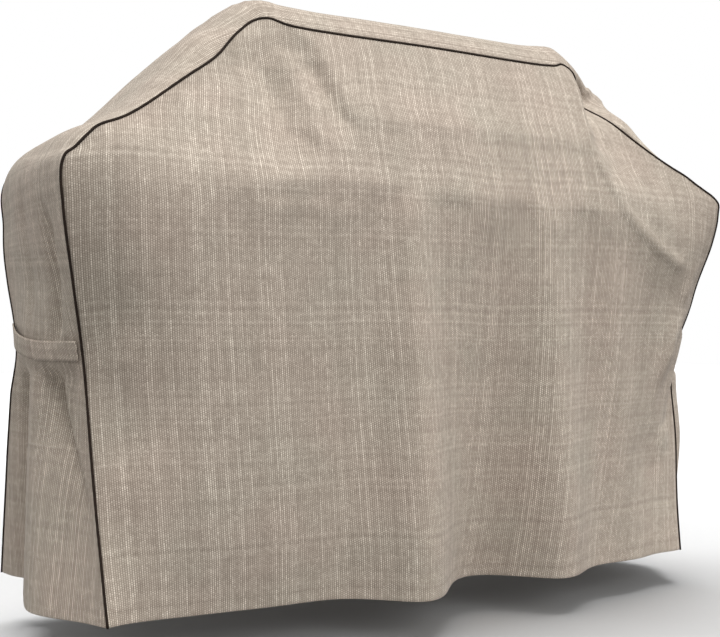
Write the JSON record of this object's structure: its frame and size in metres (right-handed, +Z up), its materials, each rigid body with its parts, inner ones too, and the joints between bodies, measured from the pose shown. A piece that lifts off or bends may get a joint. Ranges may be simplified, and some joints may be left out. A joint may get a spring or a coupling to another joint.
{
  "type": "grill cover",
  "caption": "Fitted woven fabric cover for a wide cart grill, with piped seams, sloped shoulders and a hook-and-loop strap on each side.",
  "frame": {"origin": "middle of the cover's box, at the height of the hem", "axes": "+X to the right along the width, +Y to the back, +Z up"},
  "size_m": [1.6602, 0.6188, 1.225],
  "materials": {
    "woven_cloth": "tan tweed weave, matt",
    "piping_tape": "dark brown woven tape",
    "filler_cord": "white twisted cord",
    "binding_tape": "dark brown woven tape",
    "hook_tape": "nylon hooks",
    "loop_tape": "brushed nylon loops"
  },
  "bodies": {
    "cover": {"front_panel": "woven_cloth", "back_panel": "woven_cloth", "gusset_band": "woven_cloth", "front_piping": "piping_tape", "back_piping": "piping_tape", "front_piping_cord": "filler_cord", "back_piping_cord": "filler_cord", "front_seam_binding": "binding_tape", "back_seam_binding": "binding_tape", "left_strap_loop_patch": "loop_tape", "right_strap_loop_patch": "loop_tape"},
    "left_strap": {"left_strap": "woven_cloth", "left_strap_hook_patch": "hook_tape"},
    "right_strap": {"right_strap": "woven_cloth", "right_strap_hook_patch": "hook_tape"}
  },
  "joints": [
    {"name": "left_strap_peel", "type": "hinge", "parent": "cover", "child": "left_strap", "pos_m": [-0.7635, -0.1373, 0.4807], "axis": [0, 0, 1], "range_deg": [0, 120]},
    {"name": "right_strap_peel", "type": "hinge", "parent": "cover", "child": "right_strap", "pos_m": [0.7635, -0.1373, 0.4807], "axis": [0, 0, -1], "range_deg": [0, 120]}
  ]
}
